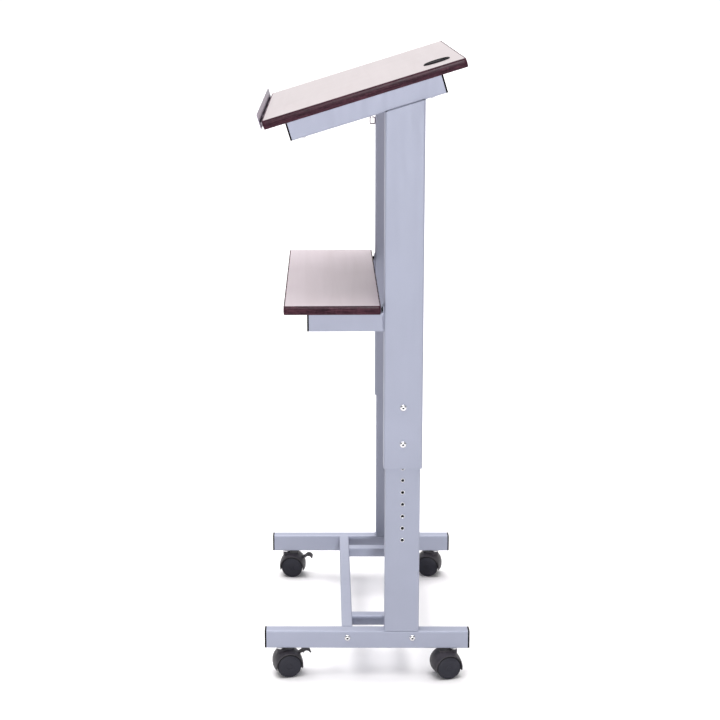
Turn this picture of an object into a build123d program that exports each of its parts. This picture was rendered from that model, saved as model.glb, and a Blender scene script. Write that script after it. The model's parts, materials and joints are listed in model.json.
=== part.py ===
from build123d import *
import os
from math import cos, radians, sin

# A lectern podium: a sloped desktop and a shelf on two telescoping columns, which stand on a
# pair of feet with twin-wheel casters. Millimetres. +X is the speaker's right, +Y points away
# from the speaker, +Z is up, and the origin is on the floor under the middle of the feet.

os.makedirs("parts", exist_ok=True)

# Steel frame
leg_x = 257.0  # centre line of each foot, column and bracket, left and right
tube_wall = 1.5
tube_corner = 3.0
rail_width = 25.0  # feet, top brackets and shelf brackets are cut from one tube
rail_height = 38.0
foot_length = 420.0
foot_bottom = 63.0
foot_top = foot_bottom + rail_height
crossbar_width = 22.0
crossbar_height = 30.0
crossbar_y = {"front": -40.0, "rear": 93.0}
crossbar_z = foot_top - crossbar_height / 2
tie_x = 182.5
tie_width = 22.0
tie_height = 22.0
tie_top = foot_top - 1.0

# Telescoping columns
column_y = 70.8
lower_size = (25.0, 70.0)
lower_top = 643.5
upper_size = (32.0, 77.0)
upper_bottom = 452.0
upper_corner = 4.0
hole_radius = 4.25
insert_length = 9.0  # threaded inserts in the height holes
insert_bore = 3.1
hole_pitch = 25.4
hole_count = 14
first_hole_z = 299.5
screw_hole_steps = (8, 11)  # the holes that hold the two height screws at this setting
glide_clearance = 0.3
glide_height = 40.0
column_front = column_y - upper_size[1] / 2

# Desktop and shelf panels
board = 17.5
band = 3.0  # thickness of the moulded edge band round each panel
panel_corner = 5.0
tongue = 2.0
tongue_depth = 6.0
desktop_width = 600.0
desktop_depth = 400.0
desktop_tilt = 16.8
desktop_low_edge = (0.0, -201.6, 1149.5)  # middle of the top surface's low edge
shelf_width = 575.0
shelf_depth = 190.0
shelf_front = -164.2
shelf_top = 789.0
bracket_low = 40.0  # where the top brackets start and end, measured up the slope
bracket_high = 352.0
shelf_bracket_front = -118.4
flange = 2.0
flange_top = 784.5

# Plastic end caps
cap_flange = 3.5
cap_plug = 12.0
cap_clearance = 0.15

# Book stop on the low edge of the desktop
stop_width = 596.0
stop_height = 29.0
stop_top = 14.5
stop_sheet = 1.5
stop_gap = 3.8
stop_screw_x = [-270.0, -135.0, 0.0, 135.0, 270.0]

# Cable grommet near the right rear corner of the desktop
grommet_at = (196.0, 351.0)
grommet_flange = 26.5
grommet_barrel = 22.5
grommet_cap = 19.8

# Twin-wheel casters
caster_y = 178.0
socket_radius = 7.9
socket_flange = 11.0
socket_depth = 33.0
caster_angles = {  # which way each caster trails, in degrees round from +X
    "front_left": 85.0,
    "front_right": 102.0,
    "rear_left": -102.0,
    "rear_right": -77.0,
}
wheel_radius = 25.0
wheel_inner = 8.5  # the wheels' inner and outer faces, measured from the caster's middle
wheel_outer = 23.75
caster_trail = 15.0
stem_radius = 5.5
stem_bottom = 33.5
stem_length = 62.0
stem_collar = 8.2
stem_collar_bottom = 58.5
socket_flange_bottom = 61.5
axle_radius = 3.0
running = 0.05
hood_top = 58.2
hood_inner = 26.0
hood_edge = 28.2
hood_crown = 31.0
hood_half_width = 23.5
hood_bottom = 19.0
neck_radius = 8.0
neck_bottom = 29.5
neck_step = 1.5
web_half = 7.5
brake_pivot = (19.0, 17.0)
brake_arm = 28.0  # slope of the brake lever's arm at rest, in degrees
brake_travel = 15.0
trunnion = 2.0
arm_half = 2.2

sides = {"left": -1, "right": 1}
slope = radians(desktop_tilt)
desk = Plane(origin=desktop_low_edge, x_dir=(1, 0, 0), z_dir=(0, -sin(slope), cos(slope)))
desk_front = Plane(origin=desk.origin, x_dir=desk.x_dir, z_dir=-desk.y_dir)
bracket_under = board + rail_height
shelf = Plane(origin=(0, shelf_front, shelf_top), x_dir=(1, 0, 0), z_dir=(0, 0, 1))
shelf_under = shelf_top - board
column_face = Plane(origin=(0, column_front, 0), x_dir=(1, 0, 0), z_dir=(0, -1, 0))
height_screw_z = [first_hole_z + step * hole_pitch for step in screw_hole_steps]
desktop_screw_y = [67.0, 323.0]
shelf_screw_y = [-90.0, 2.0]
shelf_bolt_z = [748.5, 776.5]
crossbar_bolt = 4.0  # radii of the fasteners' shanks
height_screw = 3.0
shelf_bolt = 3.0
panel_screw = 2.4
stop_screw = 1.7
hole_slack = 0.1
screw_bite = 12.0  # how deep a screw goes into a panel


def save(piece, label):
    """Label a finished piece and write it out."""
    piece.part.label = label
    export_step(piece.part, f"parts/{label}.step")


def outer_face(x, side):
    """The plane on a tube's outer side at x: sketch x runs along Y, sketch y is up."""
    return Plane(origin=(x, 0, 0), x_dir=(0, side, 0), z_dir=(side, 0, 0))


def tube_outline(width, height, corner=tube_corner):
    """A hollow tube's section, drawn in the sketch that is open."""
    RectangleRounded(width, height, corner)
    RectangleRounded(
        width - 2 * tube_wall, height - 2 * tube_wall, corner - tube_wall, mode=Mode.SUBTRACT
    )


def rail(start, length):
    """A length of the rail tube, running out of the plane start."""
    with BuildPart() as tube:
        with BuildSketch(start):
            tube_outline(rail_width, rail_height)
        extrude(amount=length)
    return tube


def end_caps(ends):
    """Push-in plastic caps for rail tubes. Each plane lies on a tube's end and faces out."""
    slack = 2 * tube_wall + 2 * cap_clearance
    with BuildPart() as caps:
        for end in ends:
            with BuildSketch(end):
                RectangleRounded(rail_width - slack, rail_height - slack, tube_corner - tube_wall)
                offset(amount=-2.0, mode=Mode.SUBTRACT)
            extrude(amount=-cap_plug)
            with BuildSketch(end):
                RectangleRounded(rail_width, rail_height, tube_corner)
            extrude(amount=cap_flange)
            rim = caps.faces(Select.LAST).sort_by(Axis(end.origin, end.z_dir))[-1]
            fillet(rim.edges(), 0.8)
    return caps


def screws(places, head, height, shank, length, socket):
    """Round-headed screws with a hex socket. Each plane lies under a head and faces out of it."""
    with BuildPart() as fasteners:
        for place in places:
            profile = Plane(origin=place.origin, x_dir=place.x_dir, z_dir=-place.y_dir)
            with BuildSketch(profile):
                with BuildLine():
                    Polyline((0, height), (0, -length), (shank - 0.5, -length), (shank, 0.5 - length))
                    Polyline((shank, 0.5 - length), (shank, 0), (head, 0), (head, 0.25 * height))
                    ThreePointArc(
                        (head, 0.25 * height), (0.74 * head, 0.8 * height), (0.42 * head, height)
                    )
                    Line((0.42 * head, height), (0, height))
                make_face()
            revolve(axis=Axis(place.origin, place.z_dir))
            with BuildSketch(place.offset(height)):
                RegularPolygon(socket, 6)
            extrude(amount=-0.6 * height, mode=Mode.SUBTRACT)
    return fasteners


# Base: two feet joined by two crossbars and two short ties

foot_tube_length = foot_length - 2 * cap_flange
foot_middle_z = foot_bottom + rail_height / 2
bolt_places = []
for name, side in sides.items():
    x = side * leg_x
    with BuildPart() as foot:
        start = Plane(
            origin=(x, -foot_tube_length / 2, foot_middle_z), x_dir=(1, 0, 0), z_dir=(0, 1, 0)
        )
        add(rail(start, foot_tube_length).part)
        with BuildSketch(Plane.XY.offset(foot_bottom)):
            with Locations((x, -caster_y), (x, caster_y)):
                Circle(socket_radius + hole_slack)
        extrude(amount=2 * tube_wall, mode=Mode.SUBTRACT)
        with BuildSketch(outer_face(x + side * rail_width / 2, side)):
            with Locations(*[(side * y, crossbar_z) for y in crossbar_y.values()]):
                Circle(crossbar_bolt + hole_slack)
        extrude(amount=-rail_width, mode=Mode.SUBTRACT)
    save(foot, f"foot_tube_{name}")
    for y in crossbar_y.values():
        bolt_places.append(
            Plane(
                origin=(x + side * rail_width / 2, y, crossbar_z),
                x_dir=(0, side, 0),
                z_dir=(side, 0, 0),
            )
        )

foot_ends = [
    Plane(
        origin=(side * leg_x, end * foot_tube_length / 2, foot_middle_z),
        x_dir=(1, 0, 0),
        z_dir=(0, end, 0),
    )
    for side in sides.values()
    for end in (-1, 1)
]
save(end_caps(foot_ends), "foot_end_caps")

crossbar_half = leg_x - rail_width / 2
plug_length = 20.0
plug_slack = 2 * tube_wall + 0.2
for name, y in crossbar_y.items():
    with BuildPart() as crossbar:
        with BuildSketch(Plane.YZ.offset(-crossbar_half)):
            with Locations((y, crossbar_z)):
                tube_outline(crossbar_width, crossbar_height)
        extrude(amount=2 * crossbar_half)
    save(crossbar, f"base_crossbar_{name}")

# Steel plugs, welded into the crossbars' ends, take the bolts' threads
with BuildPart() as crossbar_plugs:
    for side in sides.values():
        with BuildSketch(outer_face(side * crossbar_half, side)):
            with Locations(*[(side * y, crossbar_z) for y in crossbar_y.values()]):
                RectangleRounded(crossbar_width - plug_slack, crossbar_height - plug_slack, 1.2)
                Circle(crossbar_bolt + hole_slack, mode=Mode.SUBTRACT)
        extrude(amount=-plug_length)
save(crossbar_plugs, "crossbar_plugs")

save(
    screws(
        bolt_places, head=6.6, height=3.4, shank=crossbar_bolt, length=rail_width + 17.0, socket=2.2
    ),
    "crossbar_bolts",
)

tie_front = crossbar_y["front"] + crossbar_width / 2
tie_rear = crossbar_y["rear"] - crossbar_width / 2
for name, side in sides.items():
    with BuildPart() as tie:
        with BuildSketch(Plane.XZ.offset(-tie_front)):
            with Locations((side * tie_x, tie_top - tie_height / 2)):
                tube_outline(tie_width, tie_height)
        extrude(amount=tie_front - tie_rear)
    save(tie, f"base_tie_{name}")


def height_holes(side):
    """Where the height holes are on a column's outer face, in that face's sketch."""
    return [(side * column_y, first_hole_z + step * hole_pitch) for step in range(hole_count)]


# Lower columns, welded on the feet, with a row of height holes in their outer sides
for name, side in sides.items():
    with BuildPart() as lower_column:
        with BuildSketch(Plane.XY.offset(foot_top)):
            with Locations((side * leg_x, column_y)):
                tube_outline(*lower_size)
        extrude(amount=lower_top - foot_top)
        with BuildSketch(outer_face(side * (leg_x + lower_size[0] / 2), side)):
            with Locations(*height_holes(side)):
                Circle(hole_radius)
        extrude(amount=-2 * tube_wall, mode=Mode.SUBTRACT)
    save(lower_column, f"lower_column_{name}")

# Threaded inserts, flush with the columns' outer sides
with BuildPart() as height_inserts:
    for side in sides.values():
        with BuildSketch(outer_face(side * (leg_x + lower_size[0] / 2), side)):
            with Locations(*height_holes(side)):
                Circle(hole_radius)
                Circle(insert_bore, mode=Mode.SUBTRACT)
        extrude(amount=-insert_length)
save(height_inserts, "height_inserts")

# Plastic plugs on top of the lower columns slide inside the upper columns
inside_upper = [size - 2 * tube_wall for size in upper_size]
inside_lower = [size - 2 * tube_wall for size in lower_size]
plug_cap = 6.0
plug_insert = 9.0
with BuildPart() as lower_column_plugs:
    for side in sides.values():
        with BuildSketch(Plane.XY.offset(lower_top)):
            with Locations((side * leg_x, column_y)):
                RectangleRounded(
                    inside_upper[0] - 2 * glide_clearance,
                    inside_upper[1] - 2 * glide_clearance,
                    upper_corner - tube_wall,
                )
        extrude(amount=plug_cap)
        with BuildSketch(Plane.XY.offset(lower_top)):
            with Locations((side * leg_x, column_y)):
                RectangleRounded(
                    inside_lower[0] - 2 * cap_clearance,
                    inside_lower[1] - 2 * cap_clearance,
                    tube_corner - tube_wall,
                )
        extrude(amount=-plug_insert)
save(lower_column_plugs, "lower_column_plugs")

# Upper columns, cut off along the slope under the top brackets
for name, side in sides.items():
    x = side * leg_x
    with BuildPart() as upper_column:
        with BuildSketch(Plane.XY.offset(upper_bottom)):
            with Locations((x, column_y)):
                tube_outline(*upper_size, corner=upper_corner)
        extrude(amount=desk.origin.Z - upper_bottom + 100)
        split(bisect_by=desk.offset(-bracket_under), keep=Keep.BOTTOM)
        with BuildSketch(outer_face(x + side * upper_size[0] / 2, side)):
            with Locations(*[(side * column_y, z) for z in height_screw_z]):
                Circle(height_screw + hole_slack)
        extrude(amount=-2 * tube_wall, mode=Mode.SUBTRACT)
        with BuildSketch(column_face):
            with Locations(*[(x, z) for z in shelf_bolt_z]):
                Circle(shelf_bolt + hole_slack)
        extrude(amount=-2 * tube_wall, mode=Mode.SUBTRACT)
    save(upper_column, f"upper_column_{name}")

with BuildPart() as column_glides:
    for side in sides.values():
        with BuildSketch(Plane.XY.offset(upper_bottom + 1.5)):
            with Locations((side * leg_x, column_y)):
                RectangleRounded(
                    inside_upper[0] - 0.1, inside_upper[1] - 0.1, upper_corner - tube_wall
                )
                RectangleRounded(
                    lower_size[0] + 2 * glide_clearance,
                    lower_size[1] + 2 * glide_clearance,
                    tube_corner,
                    mode=Mode.SUBTRACT,
                )
        extrude(amount=glide_height)
save(column_glides, "column_glides")

# The height screws end short of the lower columns, so the upper columns can slide
screw_places = [
    Plane(
        origin=(side * (leg_x + upper_size[0] / 2), column_y, z),
        x_dir=(0, side, 0),
        z_dir=(side, 0, 0),
    )
    for side in sides.values()
    for z in height_screw_z
]
save(
    screws(
        screw_places, head=7.0, height=3.4, shank=height_screw, length=tube_wall + 1.6, socket=2.0
    ),
    "height_screws",
)

# Top brackets under the desktop
bracket_middle = -(board + rail_height / 2)
bracket_ends = []
desktop_screw_places = []
for name, side in sides.items():
    x = side * leg_x
    low = desk.from_local_coords((x, bracket_low + cap_flange, bracket_middle))
    high = desk.from_local_coords((x, bracket_high - cap_flange, bracket_middle))
    length = bracket_high - bracket_low - 2 * cap_flange
    with BuildPart() as top_bracket:
        add(rail(Plane(origin=low, x_dir=desk.x_dir, z_dir=desk.y_dir), length).part)
        with BuildSketch(desk.offset(-bracket_under)):
            with Locations(*[(x, y) for y in desktop_screw_y]):
                Circle(panel_screw + hole_slack)
        extrude(amount=rail_height, mode=Mode.SUBTRACT)
    save(top_bracket, f"top_bracket_{name}")
    bracket_ends.append(Plane(origin=low, x_dir=desk.x_dir, z_dir=-desk.y_dir))
    bracket_ends.append(Plane(origin=high, x_dir=desk.x_dir, z_dir=desk.y_dir))
    for y in desktop_screw_y:
        head = desk.from_local_coords((x, y, -bracket_under))
        desktop_screw_places.append(Plane(origin=head, x_dir=desk.x_dir, z_dir=-desk.z_dir))
save(end_caps(bracket_ends), "top_bracket_caps")
save(
    screws(
        desktop_screw_places,
        head=5.0,
        height=3.0,
        shank=panel_screw,
        length=rail_height + screw_bite,
        socket=1.6,
    ),
    "desktop_screws",
)


# Panels: a laminated board inside a moulded band, whose tongue sits in a groove in the edge


def panel(top, width, depth):
    """A grooved board. The plane top lies on its surface, at the middle of its front edge."""
    groove = tongue + 0.4
    groove_floor = 2 * (band + tongue_depth + 0.5)
    with BuildPart() as core:
        with BuildSketch(top.offset(-board)):
            with Locations((0, depth / 2)):
                RectangleRounded(width - 2 * band, depth - 2 * band, panel_corner - band)
        extrude(amount=board)
        with BuildSketch(top.offset(-(board + groove) / 2)):
            with Locations((0, depth / 2)):
                Rectangle(width, depth)
                Rectangle(width - groove_floor, depth - groove_floor, mode=Mode.SUBTRACT)
        extrude(amount=groove, mode=Mode.SUBTRACT)
    return core


def edge_band(top, width, depth):
    """The band round a panel, with rounded outer edges and a tongue on its inner side."""
    inner = (width - 2 * band, depth - 2 * band)
    with BuildPart() as strip:
        with BuildSketch(top.offset(-board)):
            with Locations((0, depth / 2)):
                RectangleRounded(width, depth, panel_corner)
        extrude(amount=board)
        layers = strip.faces().sort_by(Axis(top.origin, top.z_dir))
        fillet(layers[0].edges() + layers[-1].edges(), 1.2)
        with BuildSketch(top.offset(-board)):
            with Locations((0, depth / 2)):
                RectangleRounded(*inner, panel_corner - band)
        extrude(amount=board, mode=Mode.SUBTRACT)
        with BuildSketch(top.offset(-(board + tongue) / 2)):
            with Locations((0, depth / 2)):
                RectangleRounded(inner[0] + 1, inner[1] + 1, panel_corner - band)
                Rectangle(
                    inner[0] - 2 * tongue_depth, inner[1] - 2 * tongue_depth, mode=Mode.SUBTRACT
                )
        extrude(amount=tongue)
    return strip


stop_screw_points = [(x, -board / 2) for x in stop_screw_x]
with BuildPart() as desktop_board:
    add(panel(desk, desktop_width, desktop_depth).part)
    with BuildSketch(desk):
        with Locations(grommet_at):
            Circle(grommet_barrel + 0.2)
    extrude(amount=-board, mode=Mode.SUBTRACT)
    with BuildSketch(desk.offset(-board)):
        with Locations(*[(side * leg_x, y) for side in sides.values() for y in desktop_screw_y]):
            Circle(panel_screw + hole_slack)
    extrude(amount=screw_bite + 0.5, mode=Mode.SUBTRACT)
    with BuildSketch(desk_front):
        with Locations(*stop_screw_points):
            Circle(stop_screw + hole_slack)
    extrude(amount=-(screw_bite + 0.5), mode=Mode.SUBTRACT)
save(desktop_board, "desktop_board")

with BuildPart() as desktop_edge_band:
    add(edge_band(desk, desktop_width, desktop_depth).part)
    with BuildSketch(desk_front):
        with Locations(*stop_screw_points):
            Circle(stop_screw + hole_slack)
    extrude(amount=-(screw_bite + 0.5), mode=Mode.SUBTRACT)
save(desktop_edge_band, "desktop_edge_band")

# Book stop: a metal strip held clear of the low edge by spacers
with BuildPart() as book_stop:
    with BuildSketch(desk_front.offset(stop_gap)):
        with Locations((0, stop_top - stop_height / 2)):
            RectangleRounded(stop_width, stop_height, 4.0)
        with Locations(*stop_screw_points):
            Circle(stop_screw + hole_slack, mode=Mode.SUBTRACT)
    extrude(amount=stop_sheet)
save(book_stop, "book_stop")

with BuildPart() as book_stop_spacers:
    with BuildSketch(desk_front):
        with Locations(*stop_screw_points):
            Circle(4.0)
            Circle(stop_screw + hole_slack, mode=Mode.SUBTRACT)
    extrude(amount=stop_gap)
save(book_stop_spacers, "book_stop_spacers")

stop_screw_places = [
    Plane(
        origin=desk_front.from_local_coords((x, y, stop_gap + stop_sheet)),
        x_dir=desk_front.x_dir,
        z_dir=desk_front.z_dir,
    )
    for x, y in stop_screw_points
]
save(
    screws(
        stop_screw_places,
        head=3.4,
        height=2.0,
        shank=stop_screw,
        length=stop_gap + stop_sheet + screw_bite,
        socket=1.2,
    ),
    "book_stop_screws",
)

# Grommet: a flanged ring through the desktop, and a slotted cap that turns in it
grommet = Plane(
    origin=desk.from_local_coords((*grommet_at, 0)), x_dir=desk.x_dir, z_dir=desk.z_dir
)
grommet_profile = Plane(origin=grommet.origin, x_dir=grommet.x_dir, z_dir=-grommet.y_dir)
cap_seat = grommet_cap + 0.3
ledge_top = -0.8
ledge_radius = 18.0
ring_top = 2.8
slot_width = 14.0
with BuildPart() as grommet_ring:
    with BuildSketch(grommet_profile):
        with BuildLine():
            Polyline(
                (cap_seat, ring_top),
                (cap_seat, ledge_top),
                (ledge_radius, ledge_top),
                (ledge_radius, ledge_top - 1.4),
                (grommet_barrel - 2, ledge_top - 3.0),
                (grommet_barrel - 2, -board - 2.5),
                (grommet_barrel, -board - 2.5),
                (grommet_barrel, 0),
                (grommet_flange, 0),
                (grommet_flange, 0.6),
            )
            ThreePointArc(
                (grommet_flange, 0.6), (grommet_flange - 1.4, 2.2), (grommet_flange - 3.6, ring_top)
            )
            Line((grommet_flange - 3.6, ring_top), (cap_seat, ring_top))
        make_face()
    revolve(axis=Axis(grommet.origin, grommet.z_dir))
save(grommet_ring, "grommet_ring")

with BuildPart() as grommet_cap_piece:
    with BuildSketch(grommet.offset(ledge_top + 0.3)):
        Circle(grommet_cap)
        with Locations((0, grommet_cap)):
            RectangleRounded(slot_width, 2 * (grommet_cap - 8.0), 3.0, mode=Mode.SUBTRACT)
    extrude(amount=2.6)
    upper = grommet_cap_piece.faces().sort_by(Axis(grommet.origin, grommet.z_dir))[-1]
    fillet(upper.edges(), 0.5)
save(grommet_cap_piece, "grommet_cap")

# Shelf
with BuildPart() as shelf_board:
    add(panel(shelf, shelf_width, shelf_depth).part)
    with BuildSketch(Plane.XY.offset(shelf_under)):
        with Locations(*[(side * leg_x, y) for side in sides.values() for y in shelf_screw_y]):
            Circle(panel_screw + hole_slack)
    extrude(amount=screw_bite + 0.5, mode=Mode.SUBTRACT)
save(shelf_board, "shelf_board")
save(edge_band(shelf, shelf_width, shelf_depth), "shelf_edge_band")

# Shelf brackets: a rail with a bolting flange welded on its rear end
flange_front = column_front - flange
bracket_z = shelf_under - rail_height / 2
shelf_bolt_places = []
shelf_screw_places = []
for name, side in sides.items():
    x = side * leg_x
    start = Plane(
        origin=(x, shelf_bracket_front + cap_flange, bracket_z), x_dir=(1, 0, 0), z_dir=(0, 1, 0)
    )
    with BuildPart() as shelf_bracket:
        add(rail(start, flange_front - shelf_bracket_front - cap_flange).part)
        with BuildSketch(column_face):
            with Locations((x, (flange_top + shelf_under - rail_height) / 2)):
                RectangleRounded(rail_width, flange_top - shelf_under + rail_height, tube_corner)
            with Locations(*[(x, z) for z in shelf_bolt_z]):
                Circle(shelf_bolt + hole_slack, mode=Mode.SUBTRACT)
        extrude(amount=flange)
        with BuildSketch(Plane.XY.offset(shelf_under)):
            with Locations(*[(x, y) for y in shelf_screw_y]):
                Circle(panel_screw + hole_slack)
        extrude(amount=-2 * tube_wall, mode=Mode.SUBTRACT)
        with BuildSketch(Plane.XY.offset(shelf_under - rail_height)):
            with Locations(*[(x, y) for y in shelf_screw_y]):
                Circle(6.5)
        extrude(amount=2 * tube_wall, mode=Mode.SUBTRACT)
    save(shelf_bracket, f"shelf_bracket_{name}")
    for z in shelf_bolt_z:
        shelf_bolt_places.append(
            Plane(origin=(x, flange_front, z), x_dir=(1, 0, 0), z_dir=(0, -1, 0))
        )
    for y in shelf_screw_y:
        shelf_screw_places.append(
            Plane(origin=(x, y, shelf_under - tube_wall), x_dir=(1, 0, 0), z_dir=(0, 0, -1))
        )

shelf_bracket_ends = [
    Plane(
        origin=(side * leg_x, shelf_bracket_front + cap_flange, bracket_z),
        x_dir=(1, 0, 0),
        z_dir=(0, -1, 0),
    )
    for side in sides.values()
]
save(end_caps(shelf_bracket_ends), "shelf_bracket_caps")
save(
    screws(
        shelf_bolt_places, head=4.4, height=3.2, shank=shelf_bolt, length=flange + tube_wall, socket=1.6
    ),
    "shelf_bracket_bolts",
)
save(
    screws(
        shelf_screw_places,
        head=5.0,
        height=3.0,
        shank=panel_screw,
        length=tube_wall + screw_bite,
        socket=1.6,
    ),
    "shelf_screws",
)

# A small cable clip on the front of the left upper column
clip_size = (13.3, 17.0)
clip_z = 1091.0
clip_half_width = 6.0
clip_wall = 2.2
with BuildPart() as cable_clip:
    with BuildSketch(Plane.YZ.offset(-leg_x - clip_half_width)):
        with Locations((column_front - clip_size[0] / 2, clip_z)):
            RectangleRounded(*clip_size, 3.5)
            RectangleRounded(
                clip_size[0] - 2 * clip_wall, clip_size[1] - 2 * clip_wall, 1.8, mode=Mode.SUBTRACT
            )
        with Locations((column_front - clip_size[0] + 4.6, clip_z + clip_size[1] / 2)):
            Rectangle(2.4, 6.0, mode=Mode.SUBTRACT)
    extrude(amount=2 * clip_half_width)
save(cable_clip, "cable_clip")


# Casters


def caster_frame(x, y, angle):
    """The plane on the floor under a stem, whose x axis points the way the caster trails."""
    trail = (cos(radians(angle)), sin(radians(angle)), 0)
    return Plane(origin=(x, y, 0), x_dir=trail, z_dir=(0, 0, 1))


def across_axle(frame):
    """The plane through the wheels' middle, at the axle: sketch x trails, sketch y is up."""
    hub = frame.from_local_coords((caster_trail, 0, wheel_radius))
    return Plane(origin=hub, x_dir=frame.x_dir, z_dir=-frame.y_dir)


def along_axle(frame):
    """The plane through the axle: sketch x runs along the axle, sketch y is up."""
    hub = frame.from_local_coords((caster_trail, 0, wheel_radius))
    return Plane(origin=hub, x_dir=frame.y_dir, z_dir=frame.x_dir)


def polar(start, distance, angle):
    """The point at a distance and an angle in degrees from a starting point."""
    turn = radians(angle)
    return (start[0] + distance * cos(turn), start[1] + distance * sin(turn))


def caster_hood(frame, braked):
    """The moulded body: a crowned cover over the wheels, a web between them and a neck."""
    side = across_axle(frame)
    axle = Axis(side.origin, frame.y_dir)
    with BuildPart() as hood:
        with BuildSketch(along_axle(frame)):
            with BuildLine():
                ThreePointArc(
                    (-hood_half_width, hood_edge), (0, hood_crown), (hood_half_width, hood_edge)
                )
                Polyline(
                    (hood_half_width, hood_edge),
                    (hood_half_width, hood_inner),
                    (-hood_half_width, hood_inner),
                    (-hood_half_width, hood_edge),
                )
            make_face()
        revolve(axis=axle)
        with BuildSketch(side):
            Circle(hood_inner + 1)
        extrude(amount=web_half, both=True)
        split(bisect_by=frame.offset(hood_bottom), keep=Keep.TOP)
        with BuildSketch(frame.offset(neck_bottom)):
            with Locations((caster_trail / 2 + 3, 0)):
                SlotOverall(caster_trail + 22, 2 * neck_radius)
        extrude(amount=hood_top - neck_step - neck_bottom)
        with BuildSketch(frame.offset(neck_bottom)):
            Circle(neck_radius)
        extrude(amount=hood_top - neck_bottom)
        with BuildSketch(frame.offset(stem_bottom - 0.5)):
            Circle(stem_radius + running)
        extrude(amount=hood_top, mode=Mode.SUBTRACT)
        with BuildSketch(side):
            Circle(axle_radius + 0.02)
        extrude(amount=web_half + 1, both=True, mode=Mode.SUBTRACT)
        if braked:
            low = brake_arm - brake_travel
            reach = 22.0
            room = 3.4  # half the height of the slot that the arm swings in
            with BuildSketch(side):
                with Locations(brake_pivot):
                    Circle(4.6)
                with BuildLine():
                    Polyline(
                        polar(brake_pivot, room, brake_arm + 90),
                        polar(polar(brake_pivot, room, brake_arm + 90), reach, brake_arm),
                        polar(polar(brake_pivot, room, low - 90), reach, low),
                        polar(brake_pivot, room, low - 90),
                        close=True,
                    )
                make_face()
            extrude(amount=5.0, both=True, mode=Mode.SUBTRACT)
            with BuildSketch(side):
                with Locations(brake_pivot):
                    Circle(trunnion + running)
            extrude(amount=web_half + 1, both=True, mode=Mode.SUBTRACT)
    return hood


def caster_wheel(frame, side):
    """One wheel, with a closed, slightly domed outer face and a hollow inner one."""
    plane = along_axle(frame)
    hub_radius = 7.0
    rim = 20.5
    recess = wheel_outer - 2.4
    with BuildPart() as wheel:
        with BuildSketch(plane):
            with BuildLine():
                Polyline(
                    (side * (wheel_outer - 1.4), 0),
                    (side * (wheel_outer - 1.4), axle_radius + running),
                    (side * wheel_inner, axle_radius + running),
                    (side * wheel_inner, hub_radius),
                    (side * recess, hub_radius),
                    (side * recess, rim),
                    (side * wheel_inner, rim),
                    (side * wheel_inner, wheel_radius - 2),
                )
                ThreePointArc(
                    (side * wheel_inner, wheel_radius - 2),
                    (side * (wheel_inner + 0.6), wheel_radius - 0.6),
                    (side * (wheel_inner + 2), wheel_radius),
                )
                Line((side * (wheel_inner + 2), wheel_radius), (side * (wheel_outer - 3), wheel_radius))
                ThreePointArc(
                    (side * (wheel_outer - 3), wheel_radius),
                    (side * (wheel_outer - 1.2), wheel_radius - 0.8),
                    (side * (wheel_outer - 0.6), wheel_radius - 2.6),
                )
                Polyline(
                    (side * (wheel_outer - 0.6), wheel_radius - 2.6),
                    (side * (wheel_outer - 1.1), wheel_radius - 3.4),
                    (side * (wheel_outer - 0.5), wheel_radius - 4.2),
                )
                ThreePointArc(
                    (side * (wheel_outer - 0.5), wheel_radius - 4.2),
                    (side * (wheel_outer - 0.15), 14.0),
                    (side * wheel_outer, hub_radius),
                )
                Polyline(
                    (side * wheel_outer, hub_radius),
                    (side * wheel_outer, 0),
                    (side * (wheel_outer - 1.4), 0),
                )
            make_face()
        revolve(axis=Axis(plane.origin, plane.x_dir))
    return wheel


def brake_lever(frame):
    """A curved foot pedal on a short arm, with trunnions that turn in the hood's web."""
    side = across_axle(frame)
    arm_start = polar(brake_pivot, arm_half, brake_arm - 90)
    arm_end = polar(arm_start, 15.0, brake_arm)
    arm_back = polar(arm_end, 2 * arm_half, brake_arm + 90)
    with BuildPart() as lever:
        with BuildSketch(side):
            with Locations(brake_pivot):
                Circle(trunnion)
        extrude(amount=web_half - 0.3, both=True)
        with BuildSketch(side):
            with Locations(brake_pivot):
                Circle(4.0)
            with BuildLine():
                Polyline(
                    arm_start,
                    arm_end,
                    arm_back,
                    polar(brake_pivot, arm_half, brake_arm + 90),
                    close=True,
                )
            make_face()
        extrude(amount=4.5, both=True)
        with BuildSketch(side):
            with BuildLine():
                ThreePointArc((29.6, 22.4), (39.0, 28.8), (48.4, 20.6))
                Line((48.4, 20.6), (45.4, 19.0))
                ThreePointArc((45.4, 19.0), (38.6, 24.6), (31.2, 19.6))
                Line((31.2, 19.6), (29.6, 22.4))
            make_face()
        extrude(amount=8.5, both=True)
    return lever


def wheel_sides(frame, x):
    """Which way along the axle each wheel lies: the outer one is further from the middle."""
    outward = 1 if frame.y_dir.X * x > 0 else -1
    return {"outer": outward, "inner": -outward}


stem_places = []
for name, angle in caster_angles.items():
    end, hand = name.split("_")
    x = sides[hand] * leg_x
    y = -caster_y if end == "front" else caster_y
    frame = caster_frame(x, y, angle)
    stem_places.append((x, y))
    braked = end == "front"
    save(caster_hood(frame, braked), f"caster_hood_{name}")
    with BuildPart() as caster_axle:
        with BuildSketch(across_axle(frame)):
            Circle(axle_radius)
        extrude(amount=wheel_outer - 1.8, both=True)
    save(caster_axle, f"caster_axle_{name}")
    for place, side in wheel_sides(frame, x).items():
        save(caster_wheel(frame, side), f"caster_wheel_{name}_{place}")
    if braked:
        save(brake_lever(frame), f"brake_lever_{name}")

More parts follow.
